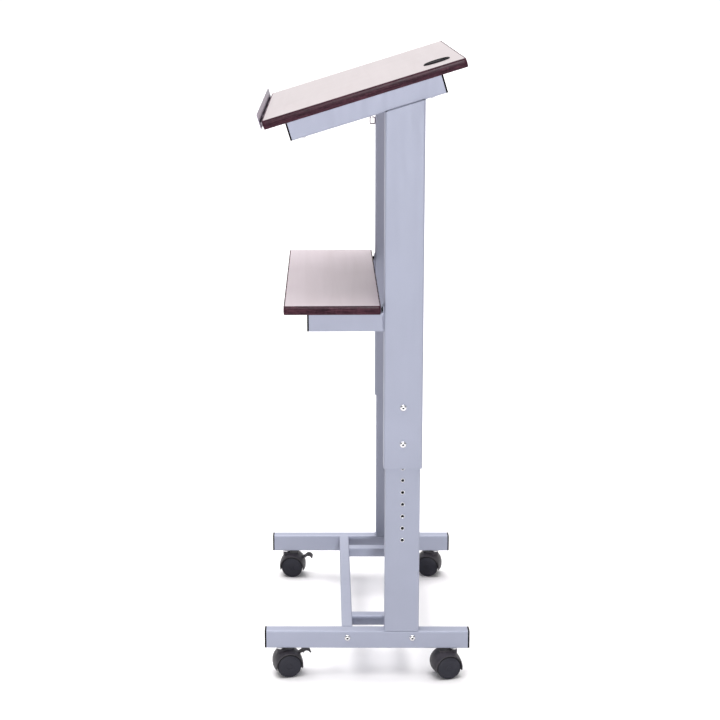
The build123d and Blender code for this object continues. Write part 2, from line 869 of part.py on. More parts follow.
# Sockets pressed into the feet, and the stems that stand in them
with BuildPart() as caster_sockets:
    with BuildSketch(Plane.XY.offset(socket_flange_bottom)):
        with Locations(*stem_places):
            Circle(socket_flange)
            Circle(stem_radius + hole_slack, mode=Mode.SUBTRACT)
    extrude(amount=foot_bottom - socket_flange_bottom)
    with BuildSketch(Plane.XY.offset(foot_bottom)):
        with Locations(*stem_places):
            Circle(socket_radius)
            Circle(stem_radius + hole_slack, mode=Mode.SUBTRACT)
    extrude(amount=socket_depth)
save(caster_sockets, "caster_sockets")

with BuildPart() as caster_stems:
    with BuildSketch(Plane.XY.offset(stem_bottom)):
        with Locations(*stem_places):
            Circle(stem_radius)
    extrude(amount=stem_length)
    chamfer(caster_stems.edges().group_by(Axis.Z)[-1], 1.2)
    with BuildSketch(Plane.XY.offset(stem_collar_bottom)):
        with Locations(*stem_places):
            Circle(stem_collar)
    extrude(amount=socket_flange_bottom - stem_collar_bottom)
save(caster_stems, "caster_stems")
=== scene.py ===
import json
import random
from math import cos, pi, radians, sin, sqrt

import bmesh
import bpy
from mathutils import Matrix, Vector


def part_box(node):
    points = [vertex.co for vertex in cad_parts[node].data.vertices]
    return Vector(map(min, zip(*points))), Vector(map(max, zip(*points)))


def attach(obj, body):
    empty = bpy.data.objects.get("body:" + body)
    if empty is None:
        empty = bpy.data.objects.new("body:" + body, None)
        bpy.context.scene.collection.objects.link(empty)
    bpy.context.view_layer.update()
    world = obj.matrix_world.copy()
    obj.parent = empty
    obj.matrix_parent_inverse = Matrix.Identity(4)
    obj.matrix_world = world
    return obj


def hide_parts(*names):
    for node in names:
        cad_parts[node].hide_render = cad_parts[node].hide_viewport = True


# The looks of a lectern podium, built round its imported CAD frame. Metres, in the frame's axes:
# +X is the speaker's right, +Y points away from the speaker, +Z is up.

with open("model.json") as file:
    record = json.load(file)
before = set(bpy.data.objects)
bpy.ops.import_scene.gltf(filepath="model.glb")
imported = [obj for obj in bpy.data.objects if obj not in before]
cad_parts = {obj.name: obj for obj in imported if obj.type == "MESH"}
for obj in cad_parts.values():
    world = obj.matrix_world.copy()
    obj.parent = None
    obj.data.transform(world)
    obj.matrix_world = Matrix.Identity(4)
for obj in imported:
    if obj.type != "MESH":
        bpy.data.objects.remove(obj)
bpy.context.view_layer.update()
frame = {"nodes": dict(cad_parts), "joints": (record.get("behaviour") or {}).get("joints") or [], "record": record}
record = frame["record"]
mm = 0.001
draw = random.Random(7)
scene = bpy.context.scene


# Materials


class Shader:
    """A node material under construction. Textures are laid out in the object's own metres."""

    def __init__(self, name, turn=(0.0, 0.0, 0.0)):
        self.material = bpy.data.materials.new(name)
        self.material.use_nodes = True
        self.tree = self.material.node_tree
        self.surface = self.tree.nodes["Principled BSDF"]
        coordinates = self.tree.nodes.new("ShaderNodeTexCoord")
        mapping = self.tree.nodes.new("ShaderNodeMapping")
        mapping.inputs["Rotation"].default_value = turn
        self.link(coordinates.outputs["Object"], mapping.inputs["Vector"])
        self.metres = mapping.outputs["Vector"]

    def link(self, output, target):
        self.tree.links.new(output, target)

    def set(self, **values):
        for key, value in values.items():
            self.surface.inputs[key.replace("_", " ")].default_value = value

    def stretched(self, x, y, z):
        """The coordinates scaled along each axis, for grain and brush marks."""
        node = self.tree.nodes.new("ShaderNodeMapping")
        node.inputs["Scale"].default_value = (x, y, z)
        self.link(self.metres, node.inputs["Vector"])
        return node.outputs["Vector"]

    def noise(self, scale, detail=2.0, rough=0.5, distortion=0.0, at=None):
        node = self.tree.nodes.new("ShaderNodeTexNoise")
        self.link(at or self.metres, node.inputs["Vector"])
        node.inputs["Scale"].default_value = scale
        node.inputs["Detail"].default_value = detail
        node.inputs["Roughness"].default_value = rough
        node.inputs["Distortion"].default_value = distortion
        return node.outputs["Fac"]

    def cells(self, scale):
        node = self.tree.nodes.new("ShaderNodeTexVoronoi")
        self.link(self.metres, node.inputs["Vector"])
        node.inputs["Scale"].default_value = scale
        return node.outputs["Distance"]

    def remap(self, value, low, high, out_low, out_high):
        node = self.tree.nodes.new("ShaderNodeMapRange")
        self.link(value, node.inputs["Value"])
        for key, number in zip(
            ("From Min", "From Max", "To Min", "To Max"), (low, high, out_low, out_high)
        ):
            node.inputs[key].default_value = number
        return node.outputs["Result"]

    def math(self, operation, a, b):
        node = self.tree.nodes.new("ShaderNodeMath")
        node.operation = operation
        for socket, value in zip(node.inputs, (a, b)):
            if isinstance(value, float):
                socket.default_value = value
            else:
                self.link(value, socket)
        return node.outputs["Value"]

    def ramp(self, value, *stops):
        node = self.tree.nodes.new("ShaderNodeValToRGB")
        elements = node.color_ramp.elements
        while len(elements) < len(stops):
            elements.new(1.0)
        for element, (position, colour) in zip(elements, stops):
            element.position = position
            element.color = (*colour, 1.0)
        self.link(value, node.inputs["Fac"])
        return node.outputs["Color"]

    def mix(self, fraction, a, b):
        node = self.tree.nodes.new("ShaderNodeMix")
        node.data_type = "RGBA"
        self.link(fraction, node.inputs["Factor"])
        for key, value in (("A", a), ("B", b)):
            socket = [i for i in node.inputs if i.name == key and i.type == "RGBA"][0]
            if isinstance(value, tuple):
                socket.default_value = (*value, 1.0)
            else:
                self.link(value, socket)
        return [o for o in node.outputs if o.type == "RGBA"][0]

    def edges(self):
        """0 on flats and hollows, up to 1 on worn outer edges."""
        node = self.tree.nodes.new("ShaderNodeNewGeometry")
        return self.remap(node.outputs["Pointiness"], 0.515, 0.60, 0.0, 1.0)

    def bump(self, *layers):
        """Each layer is (height, distance in metres, strength)."""
        normal = None
        for height, distance, strength in layers:
            node = self.tree.nodes.new("ShaderNodeBump")
            node.inputs["Distance"].default_value = distance
            node.inputs["Strength"].default_value = strength
            self.link(height, node.inputs["Height"])
            if normal:
                self.link(normal, node.inputs["Normal"])
            normal = node.outputs["Normal"]
        self.link(normal, self.surface.inputs["Normal"])

    def finish(self, colour, roughness):
        self.link(colour, self.surface.inputs["Base Color"])
        self.link(roughness, self.surface.inputs["Roughness"])
        return self.material


def scaled(colour, factor):
    return tuple(channel * factor for channel in colour)


def powder_coat(name, colour, metallic, rough):
    """Silver powder coat: fine orange peel, metallic flake, faint rubs and worn edges."""
    s = Shader(name)
    s.set(Metallic=metallic, Coat_Weight=0.04, Coat_Roughness=0.30)
    flake = s.cells(1900.0)
    cloud = s.noise(5.0, detail=4.0)
    rubs = s.noise(1.0, detail=5.0, rough=0.6, at=s.stretched(70.0, 70.0, 9.0))
    tone = s.math("ADD", s.math("MULTIPLY", flake, 0.30), s.math("MULTIPLY", cloud, 0.70))
    paint = s.ramp(tone, (0.25, scaled(colour, 0.90)), (0.75, scaled(colour, 1.08)))
    coat = s.mix(s.math("MULTIPLY", s.edges(), 0.45), paint, scaled(colour, 1.35))
    gloss = s.remap(rubs, 0.35, 0.75, rough - 0.04, rough + 0.07)
    s.bump((s.noise(620.0, detail=2.0), 0.00006, 0.35), (flake, 0.00002, 0.18))
    return s.finish(coat, gloss)


def laminate(name, pale, streak, turn):
    """Pale satin laminate with a low-contrast grain that runs across the desk's width."""
    s = Shader(name, turn)
    s.set(Coat_Weight=0.20, Coat_Roughness=0.25, Specular_IOR_Level=0.4)
    long = s.stretched(2.2, 38.0, 38.0)
    fine = s.stretched(14.0, 420.0, 420.0)
    bands = s.noise(1.0, detail=5.0, rough=0.55, distortion=0.9, at=long)
    pores = s.noise(1.0, detail=3.0, rough=0.7, at=fine)
    smudge = s.noise(9.0, detail=3.0)
    tone = s.math("ADD", s.math("MULTIPLY", bands, 0.72), s.math("MULTIPLY", pores, 0.28))
    colour = s.ramp(tone, (0.30, streak), (0.52, pale), (0.80, scaled(pale, 1.05)))
    gloss = s.remap(s.math("ADD", smudge, s.math("MULTIPLY", pores, 0.35)), 0.4, 0.95, 0.30, 0.42)
    s.bump((pores, 0.00005, 0.30), (bands, 0.00005, 0.15))
    return s.finish(colour, gloss)


def walnut_band(name, turn):
    """Dark reddish moulded band with a mottled walnut print under a clear gloss."""
    s = Shader(name, turn)
    s.set(Coat_Weight=0.02, Coat_Roughness=0.20, Specular_IOR_Level=0.08)
    long = s.stretched(26.0, 26.0, 420.0)
    mottle = s.noise(95.0, detail=5.0, rough=0.65, distortion=1.2)
    streaks = s.noise(1.0, detail=6.0, rough=0.6, distortion=1.6, at=long)
    figure = s.noise(1.0, detail=3.0, rough=0.5, distortion=2.5, at=s.stretched(11.0, 11.0, 90.0))
    tone = s.math("ADD", s.math("MULTIPLY", streaks, 0.45), s.math("MULTIPLY", mottle, 0.30))
    tone = s.math("ADD", tone, s.math("MULTIPLY", figure, 0.25))
    colour = s.ramp(
        tone,
        (0.34, (0.014, 0.004, 0.008)),
        (0.47, (0.040, 0.013, 0.022)),
        (0.58, (0.078, 0.026, 0.040)),
        (0.72, (0.140, 0.055, 0.076)),
    )
    worn = s.mix(s.math("MULTIPLY", s.edges(), 0.35), colour, (0.22, 0.12, 0.16))
    gloss = s.remap(streaks, 0.3, 0.7, 0.20, 0.34)
    s.bump((streaks, 0.00006, 0.30), (mottle, 0.00004, 0.20))
    return s.finish(worn, gloss)


def moulded(
    name, colour, rough, grain=900.0, depth=0.00005, lift=0.25, dust=(0.30, 0.28, 0.27), sheen=0.3
):
    """Moulded plastic: a spark-eroded grain, paler rubbed edges and a little dust."""
    s = Shader(name)
    s.set(Specular_IOR_Level=sheen)
    skin = s.noise(grain, detail=3.0, rough=0.6)
    pits = s.cells(grain * 0.8)
    cloud = s.noise(26.0, detail=4.0, rough=0.6)
    base = s.ramp(cloud, (0.3, scaled(colour, 0.85)), (0.7, scaled(colour, 1.20)))
    dusty = s.mix(s.remap(cloud, 0.55, 0.85, 0.0, 0.10), base, dust)
    rubbed = s.mix(s.math("MULTIPLY", s.edges(), lift), dusty, scaled(dust, 0.6))
    patches = s.math("ADD", cloud, s.math("MULTIPLY", skin, 0.4))
    gloss = s.remap(patches, 0.4, 1.0, rough - 0.07, rough + 0.09)
    s.bump((skin, depth, 0.4), (pits, depth * 0.6, 0.3))
    return s.finish(rubbed, gloss)


def metal(name, colour, rough, brush, lines=0.35, tint=(0.30, 0.27, 0.25)):
    """Bare or plated metal with brush or turning marks that follow the brush scales."""
    s = Shader(name)
    s.set(Metallic=1.0)
    marks = s.noise(1.0, detail=4.0, rough=0.7, at=s.stretched(*brush))
    cloud = s.noise(60.0, detail=4.0, rough=0.6)
    base = s.ramp(marks, (0.25, scaled(colour, 0.86)), (0.75, scaled(colour, 1.06)))
    aged = s.mix(s.remap(cloud, 0.55, 0.85, 0.0, 0.22), base, tint)
    gloss = s.remap(marks, 0.2, 0.8, rough - 0.06, rough + 0.08)
    s.bump((marks, 0.00003, lines), (cloud, 0.00005, 0.12))
    return s.finish(aged, gloss)


desk_mount = next(m for m in record["mounts"] if m["name"] == "desktop_surface")
shelf_mount = next(m for m in record["mounts"] if m["name"] == "shelf_surface")
normal = Vector(desk_mount["axis"]).normalized()
up_slope = normal.cross(Vector((1.0, 0.0, 0.0))).normalized()
tilt = -radians(90.0) + normal.angle(Vector((0.0, 1.0, 0.0)))

silver = (0.352, 0.372, 0.466)
desk_pale, desk_streak = (0.500, 0.445, 0.455), (0.475, 0.418, 0.426)
# The shelf takes the desk's laminate painted about a fifth lighter and a little pinker; the extra lightness is
# painted light, making up for the shade the desktop casts over the shelf.
shelf_pale_painted_lighter, shelf_streak_painted_lighter = (0.625, 0.540, 0.580), (0.590, 0.505, 0.540)
desk_turn, shelf_turn = (-tilt, 0.0, 0.0), (0.0, 0.0, 0.0)
looks = {
    "frame_paint": powder_coat("silver_powder_coat", silver, 0.25, 0.46),
    "laminate_desk": laminate("desk_laminate", desk_pale, desk_streak, desk_turn),
    "laminate_shelf": laminate("shelf_laminate_painted_lighter", shelf_pale_painted_lighter, shelf_streak_painted_lighter, shelf_turn),
    "band_desk": walnut_band("desk_band", desk_turn),
    "band_shelf": walnut_band("shelf_band", shelf_turn),
    "cap_plastic": moulded(
        "black_cap_plastic", (0.007, 0.006, 0.008), 0.50, lift=0.08, dust=(0.12, 0.11, 0.11), sheen=0.04
    ),
    "caster_plastic": moulded("caster_nylon", (0.038, 0.034, 0.042), 0.40, grain=700.0),
    "wheel_nylon": moulded("wheel_nylon", (0.024, 0.024, 0.035), 0.52, grain=1100.0, lift=0.10),
    "tread": moulded(
        "wheel_tread", (0.022, 0.021, 0.025), 0.60, grain=500.0, depth=0.0001, lift=0.05
    ),
    "natural_nylon": moulded(
        "natural_nylon", (0.42, 0.37, 0.41), 0.45, grain=500.0, lift=0.1, dust=(0.5, 0.42, 0.4)
    ),
    "stop_metal": metal("satin_aluminium", (0.34, 0.30, 0.38), 0.30, (14.0, 1800.0, 1800.0)),
    "bright_steel": metal("bright_zinc", (0.86, 0.86, 0.88), 0.20, (600.0, 600.0, 600.0), lines=0.15),
    "plain_steel": metal("plain_steel", (0.52, 0.52, 0.53), 0.34, (900.0, 900.0, 200.0)),
    "black_steel": metal(
        "black_oxide", (0.045, 0.043, 0.048), 0.36, (500.0, 500.0, 500.0), tint=(0.03, 0.03, 0.03)
    ),
    "core_board": moulded(
        "particle_board", (0.42, 0.30, 0.20), 0.85, grain=350.0, depth=0.0003, lift=0.0
    ),
}


# Pieces


def matrix(origin, x_axis, y_axis, z_axis):
    """The matrix that takes local points to the frame's."""
    axes = Matrix((x_axis, y_axis, z_axis)).transposed().to_4x4()
    return Matrix.Translation(Vector(origin)) @ axes


def span(node, place):
    """A CAD node's lowest and highest corner in a local frame."""
    inverse = place.inverted()
    points = [inverse @ v.co for v in frame["nodes"][node].data.vertices]
    low = Vector([min(p[i] for p in points) for i in range(3)])
    high = Vector([max(p[i] for p in points) for i in range(3)])
    return low, high


def smooth(obj, sharp):
    """Smooth shading that keeps sharp edges, with flats kept flat beside their bevels."""
    for face in obj.data.polygons:
        face.use_smooth = True
    obj.data.set_sharp_from_angle(angle=radians(sharp))
    weighted = obj.modifiers.new("weighted", "WEIGHTED_NORMAL")
    weighted.keep_sharp = True


def new_piece(name, bm, body, look, stands_for=(), sharp=35.0):
    """Turn a bmesh into a piece that rides on a body."""
    bmesh.ops.recalc_face_normals(bm, faces=bm.faces)
    mesh = bpy.data.meshes.new(name)
    bm.to_mesh(mesh)
    bm.free()
    obj = bpy.data.objects.new(name, mesh)
    scene.collection.objects.link(obj)
    for each in look if isinstance(look, (list, tuple)) else [look]:
        mesh.materials.append(looks[each])
    smooth(obj, sharp)
    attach(obj, body)
    if stands_for:
        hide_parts(*stands_for)


body_of = {n: body for body, nodes in record["behaviour"]["bodies"].items() for n in nodes}
slot_of = {part["node"]: part["material_slot"] for part in record["subparts"]}


def eased(node, bevel, segments=2):
    """A bmesh of a CAD node with its triangles merged into flats and its outer edges rounded."""
    same_place = 0.002 * mm
    flat = radians(0.4)
    corner = radians(40.0)
    bm = bmesh.new()
    bm.from_mesh(frame["nodes"][node].data)
    bmesh.ops.remove_doubles(bm, verts=bm.verts, dist=same_place)
    bmesh.ops.dissolve_degenerate(bm, dist=same_place, edges=bm.edges)
    bmesh.ops.dissolve_limit(bm, angle_limit=flat, verts=bm.verts, edges=bm.edges)
    outer = [e for e in bm.edges if len(e.link_faces) == 2 and e.is_convex]
    sharp = [e for e in outer if e.calc_face_angle() > corner]
    bmesh.ops.bevel(
        bm, geom=sharp, offset=bevel, segments=segments, profile=0.5, affect="EDGES", clamp_overlap=False
    )
    return bm


def refine(node, bevel, segments=2):
    """Stand an edge-rounded copy in for a CAD node."""
    slot = slot_of[node]
    new_piece(f"{node}_detailed", eased(node, bevel, segments), body_of[node], slot, (node,))


def loft(bm, rings, closed_path=False, caps=False):
    """Skin a list of rings of points with quads."""
    rows = [[bm.verts.new(p) for p in ring] for ring in rings]
    count = len(rows[0])
    steps = len(rows) if closed_path else len(rows) - 1
    for i in range(steps):
        a, b = rows[i], rows[(i + 1) % len(rows)]
        for j in range(count):
            k = (j + 1) % count
            bm.faces.new((a[j], a[k], b[k], b[j]))
    if caps:
        for row in (rows[0], rows[-1]):
            bm.faces.new(row)


def circle(radius, height, steps):
    """Points round a circle about the local Z axis."""
    turns = [2 * pi * i / steps for i in range(steps)]
    return [Vector((radius * cos(turn), radius * sin(turn), height)) for turn in turns]


def lathe(bm, place, profile, steps):
    """Revolve (radius, height) points about the local Z axis of place. A radius of 0 makes a tip."""
    rows = [[bm.verts.new(place @ p) for p in circle(r, h, steps)] if r else None for r, h in profile]
    tips = [None if r else bm.verts.new(place @ Vector((0, 0, h))) for r, h in profile]
    for i in range(len(profile) - 1):
        a, b = rows[i], rows[i + 1]
        for j in range(steps):
            k = (j + 1) % steps
            if a and b:
                bm.faces.new((a[j], a[k], b[k], b[j]))
            elif a:
                bm.faces.new((a[j], a[k], tips[i + 1]))
            elif b:
                bm.faces.new((tips[i], b[k], b[j]))


def outline(width, depth, radius, corner_steps=8):
    """Points round a rounded rectangle that is centred on x and starts at y = 0, with normals."""
    points = []
    for cx, cy, start in (
        (width / 2 - radius, radius, -90.0),
        (width / 2 - radius, depth - radius, 0.0),
        (radius - width / 2, depth - radius, 90.0),
        (radius - width / 2, radius, 180.0),
    ):
        for i in range(corner_steps + 1):
            turn = radians(start + 90.0 * i / corner_steps)
            direction = Vector((cos(turn), sin(turn), 0.0))
            points.append((Vector((cx, cy, 0.0)) + radius * direction, direction))
    return points


def weld(bm, start, end, radius):
    """A straight weld bead: overlapping scales with slightly uneven height, thinner at its ends."""
    scale_pitch = radius * 0.62
    steps_per_scale = 4
    sides = 10
    run = end - start
    along = run.normalized()
    side = along.cross(Vector((0.3, 0.2, 1.0)) if abs(along.z) < 0.8 else Vector((1.0, 0.1, 0.0)))
    side.normalize()
    other = along.cross(side)
    steps = max(3, int(run.length / (scale_pitch / steps_per_scale)))
    rings = []
    for i in range(steps + 1):
        scale = 0.80 + 0.20 * abs(sin(pi * i / steps_per_scale)) + draw.uniform(-0.03, 0.03)
        end_taper = min(1.0, 0.35 + 6.0 * min(i, steps - i) / steps)
        r = radius * scale * end_taper
        centre = start + run * (i / steps)
        turns = [2 * pi * j / sides for j in range(sides)]
        rings.append([centre + r * (cos(turn) * side + sin(turn) * other) for turn in turns])
    loft(bm, rings, caps=True)


# Desktop and shelf: board faces and the moulded band round them

desk = matrix(desk_mount["pos_m"], (1, 0, 0), up_slope, normal)
shelf = matrix(shelf_mount["pos_m"], (1, 0, 0), (0, 1, 0), (0, 0, 1))


def band_piece(node, place, look):
    """The moulded band: a shallow crown between two lips, swept round the panel."""
    low, high = span(node, place)
    width = high.x - low.x
    depth = high.y - low.y
    thick = -low.z / mm
    corner = 5.0 * mm
    lip = 2.45
    recess = 0.36
    crown = 0.34
    crown_steps = 8
    profile = [  # millimetres out from the panel's outline and up from its face, down to the crown
        (-3.0, 0.0), (-2.0, 0.0), (-1.25, -0.05), (-0.75, -0.25), (-0.45, -0.65), (-0.40, -1.15),
        (-0.46, -1.65), (-0.62, -1.95), (-0.62, -2.15), (-recess, -lip),
    ]
    lower_lip = [(x, -thick - z) for x, z in reversed(profile)]
    for i in range(1, crown_steps):
        t = i / crown_steps
        profile.append((-recess + crown * sin(pi * t) ** 0.8, -lip - t * (thick - 2 * lip)))
    profile += lower_lip
    loops = []
    for point, direction in outline(width, depth, corner):
        loops.append(
            [
                place @ (point + Vector((0, low.y, 0)) + direction * x * mm + Vector((0, 0, z * mm)))
                for x, z in profile
            ]
        )
    bm = bmesh.new()
    loft(bm, loops, closed_path=True)
    new_piece(f"{node}_moulding", bm, body_of[node], look, (node,), sharp=50.0)


def pierce(bm, place, top, bottom, centre, radius, depth):
    """Cut a round hole through a panel between its top and bottom rows, and fill both faces round it."""
    steps = 96
    rims = []
    for height in (0.0, depth):
        rims.append([bm.verts.new(place @ (centre + p)) for p in circle(radius, height, steps)])
    for i in range(steps):
        k = (i + 1) % steps
        bm.faces.new((rims[0][i], rims[0][k], rims[1][k], rims[1][i])).material_index = 1
    for row, rim in ((top, rims[0]), (bottom, rims[1])):
        edges = []
        for ring in (row, rim):
            for i, vert in enumerate(ring):
                other = ring[(i + 1) % len(ring)]
                edges.append(bm.edges.get((vert, other)) or bm.edges.new((vert, other)))
        bmesh.ops.triangle_fill(bm, edges=edges, use_beauty=True)


def board_piece(node, place, look, hole=None):
    """A panel with laminate on both faces over a particle-board core."""
    low, high = span(node, place)
    width, depth = high.x - low.x, high.y - low.y
    skin = 0.8 * mm
    ease = 0.25 * mm
    core_inset = 0.1 * mm
    corner = 2.0 * mm
    loop = outline(width, depth, corner, corner_steps=5)
    levels = [  # how far out, how high, and 1 on the core
        (-ease, 0.0, 0), (0.0, -ease, 0), (0.0, -skin, 0), (-core_inset, -skin, 1),
        (-core_inset, low.z + skin, 1), (0.0, low.z + skin, 0), (0.0, low.z + ease, 0), (-ease, low.z, 0),
    ]
    bm = bmesh.new()
    rows = []
    for inset, height, _ in levels:
        rows.append(
            [
                bm.verts.new(place @ (p + Vector((0, low.y, 0)) + d * inset + Vector((0, 0, height))))
                for p, d in loop
            ]
        )
    count = len(loop)
    for i in range(len(levels) - 1):
        for j in range(count):
            k = (j + 1) % count
            face = bm.faces.new((rows[i][j], rows[i][k], rows[i + 1][k], rows[i + 1][j]))
            face.material_index = 1 if levels[i][2] and levels[i + 1][2] else 0
    if hole:
        centre, radius = hole
        pierce(bm, place, rows[0], rows[-1], centre, radius, low.z)
    else:
        for row in (rows[0], rows[-1]):
            bm.faces.new(row)
    new_piece(
        f"{node}_panel", bm, body_of[node], [look, "core_board"], (node,), sharp=30.0
    )


grommet_low, grommet_high = span("grommet_ring", desk)
grommet_middle = (grommet_low + grommet_high) / 2
grommet_middle.z = 0.0
grommet_flange = (grommet_high.x - grommet_low.x) / 2
grommet_hole = grommet_flange - 3.8 * mm
board_piece("desktop_board", desk, "laminate_desk", hole=(grommet_middle, grommet_hole))
band_piece("desktop_edge_band", desk, "band_desk")
board_piece("shelf_board", shelf, "laminate_shelf")
band_piece("shelf_edge_band", shelf, "band_shelf")

# Grommet: a ring with a stepped, rounded flange and a fine groove

grommet = desk @ Matrix.Translation(grommet_middle)
ring_profile = [  # millimetres in from the flange's edge, and up from the desktop
    (6.4, -0.8), (6.4, 2.1), (6.25, 2.55), (5.9, 2.78), (4.9, 2.8), (4.75, 2.55), (4.5, 2.45),
    (4.25, 2.55), (4.1, 2.78), (3.4, 2.72), (2.2, 2.4), (1.0, 1.75), (0.3, 1.0), (0.0, 0.35),
    (0.05, 0.1), (0.2, 0.0), (4.0, 0.0), (4.0, -19.6), (4.4, -20.0), (5.6, -20.0), (6.0, -19.6),
    (6.0, -3.8), (8.5, -2.2), (8.5, -0.8), (6.4, -0.8),
]
bm = bmesh.new()
lathe(bm, grommet, [(grommet_flange - r * mm, z * mm) for r, z in ring_profile], steps=96)
new_piece(
    "grommet_ring_moulding", bm, "upper_frame", "cap_plastic", ("grommet_ring",), sharp=40.0
)
refine("grommet_cap", 0.35 * mm, segments=3)

# Steel frame

for side in ("left", "right"):
    refine(f"foot_tube_{side}", 0.25 * mm)
    refine(f"base_tie_{side}", 0.25 * mm)
    refine(f"lower_column_{side}", 0.35 * mm)
    refine(f"upper_column_{side}", 0.35 * mm)
    refine(f"top_bracket_{side}", 0.25 * mm)
    refine(f"shelf_bracket_{side}", 0.30 * mm)
for end in ("front", "rear"):
    refine(f"base_crossbar_{end}", 0.25 * mm)
for caps in ("foot_end_caps", "top_bracket_caps", "shelf_bracket_caps"):
    refine(caps, 0.25 * mm)

# Fasteners, stems and other small pieces


def screws_with_painted_socket_shade(node, bevel):
    """Screws that lie along X, with painted shade in the hex sockets of their heads: the socket faces take the
    black oxide finish.
    """
    socket_radius = 2.4 * mm
    socket_depth = 2.6 * mm
    head_face = 0.1 * mm
    bm = eased(node, bevel)
    left = set(bm.verts)
    while left:
        island, front = set(), {left.pop()}
        while front:
            island |= front
            front = {e.other_vert(v) for v in front for e in v.link_edges} - island
        left -= island
        low = Vector([min(v.co[i] for v in island) for i in range(3)])
        high = Vector([max(v.co[i] for v in island) for i in range(3)])
        middle = (low + high) / 2
        top = max(abs(low.x), abs(high.x))
        for face in {f for v in island for f in v.link_faces}:
            centre = face.calc_center_median()
            away = sqrt((centre.y - middle.y) ** 2 + (centre.z - middle.z) ** 2)
            if away < socket_radius and top - socket_depth < abs(centre.x) < top - head_face:
                # painted shade: faces inside the socket recess take the black oxide finish to stand for the shade
                # there
                face.material_index = 1
    slot = slot_of[node]
    new_piece(f"{node}_detailed", bm, body_of[node], [slot, "black_steel"], (node,))


screws_with_painted_socket_shade("crossbar_bolts", 0.20 * mm)
screws_with_painted_socket_shade("height_screws", 0.20 * mm)
refine("shelf_bracket_bolts", 0.20 * mm)
for node in ("book_stop_screws", "desktop_screws", "shelf_screws"):
    refine(node, 0.12 * mm)
for node in (
    "height_inserts", "crossbar_plugs", "caster_sockets", "caster_stems", "lower_column_plugs",
    "column_glides",
):
    refine(node, 0.25 * mm)
refine("book_stop", 0.45 * mm, segments=3)
refine("book_stop_spacers", 0.20 * mm)
refine("cable_clip", 0.50 * mm, segments=3)

# Weld beads

column_bead_reach = 9.5 * mm
tie_bead_inset = 3 * mm
bm = bmesh.new()
for side in ("left", "right"):
    low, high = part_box(f"lower_column_{side}")
    middle = (low.x + high.x) / 2
    for y in (low.y, high.y):
        start = Vector((middle - column_bead_reach, y, low.z))
        end = Vector((middle + column_bead_reach, y, low.z))
        weld(bm, start, end, 2.4 * mm)
    low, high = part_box(f"base_tie_{side}")
    for x in (low.x, high.x):
        for y in (low.y, high.y):
            start = Vector((x, y, low.z + tie_bead_inset))
            end = Vector((x, y, high.z - tie_bead_inset))
            weld(bm, start, end, 1.8 * mm)
new_piece("base_weld_beads", bm, "base", "frame_paint", sharp=60.0)


def under_bracket(x, y, bracket_low):
    """The point under (x, y) on the sloped lower face of a desktop bracket."""
    base = desk @ Vector((0, 0, bracket_low.z))
    return Vector((x, y, base.z + (y - base.y) / up_slope.y * up_slope.z))


slope_bead_inset = 4 * mm
cross_bead_inset = 3 * mm
plate_bead_y = 2 * mm
plate_bead_top = 4 * mm
plate_bead_bottom = 34 * mm
shelf_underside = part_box("shelf_board")[0].z
bm = bmesh.new()
for side in ("left", "right"):
    low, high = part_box(f"upper_column_{side}")
    bracket_low, bracket_high = span(f"top_bracket_{side}", desk)
    for x in (bracket_low.x, bracket_high.x):
        start = under_bracket(x, low.y + slope_bead_inset, bracket_low)
        end = under_bracket(x, high.y - slope_bead_inset, bracket_low)
        weld(bm, start, end, 2.0 * mm)
    for y in (low.y, high.y):
        start = under_bracket(bracket_low.x + cross_bead_inset, y, bracket_low)
        end = under_bracket(bracket_high.x - cross_bead_inset, y, bracket_low)
        weld(bm, start, end, 1.6 * mm)
    low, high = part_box(f"shelf_bracket_{side}")
    y = high.y - plate_bead_y
    for x in (low.x, high.x):
        start = Vector((x, y, shelf_underside - plate_bead_bottom))
        end = Vector((x, y, shelf_underside - plate_bead_top))
        weld(bm, start, end, 1.3 * mm)
new_piece("upper_weld_beads", bm, "upper_frame", "frame_paint", sharp=60.0)

# Casters

joints = {j["name"]: j for j in frame["joints"]}


def caster_place(name, wheel):
    """The local frame of a wheel: the origin on its hub, Z along the axle outwards, X trailing."""
    spin = joints[f"wheel_spin_{name}_{wheel}"]
    stem = Vector(joints[f"swivel_{name}"]["pos_m"])
    hub = Vector(spin["pos_m"])
    trail = hub - stem
    trail.z = 0.0
    trail.normalize()
    low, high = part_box(f"caster_wheel_{name}_{wheel}")
    axle = Vector(spin["axis"])
    if axle.dot((low + high) / 2 - hub) < 0:
        axle = -axle
    return matrix(hub, trail, axle.cross(trail), axle)


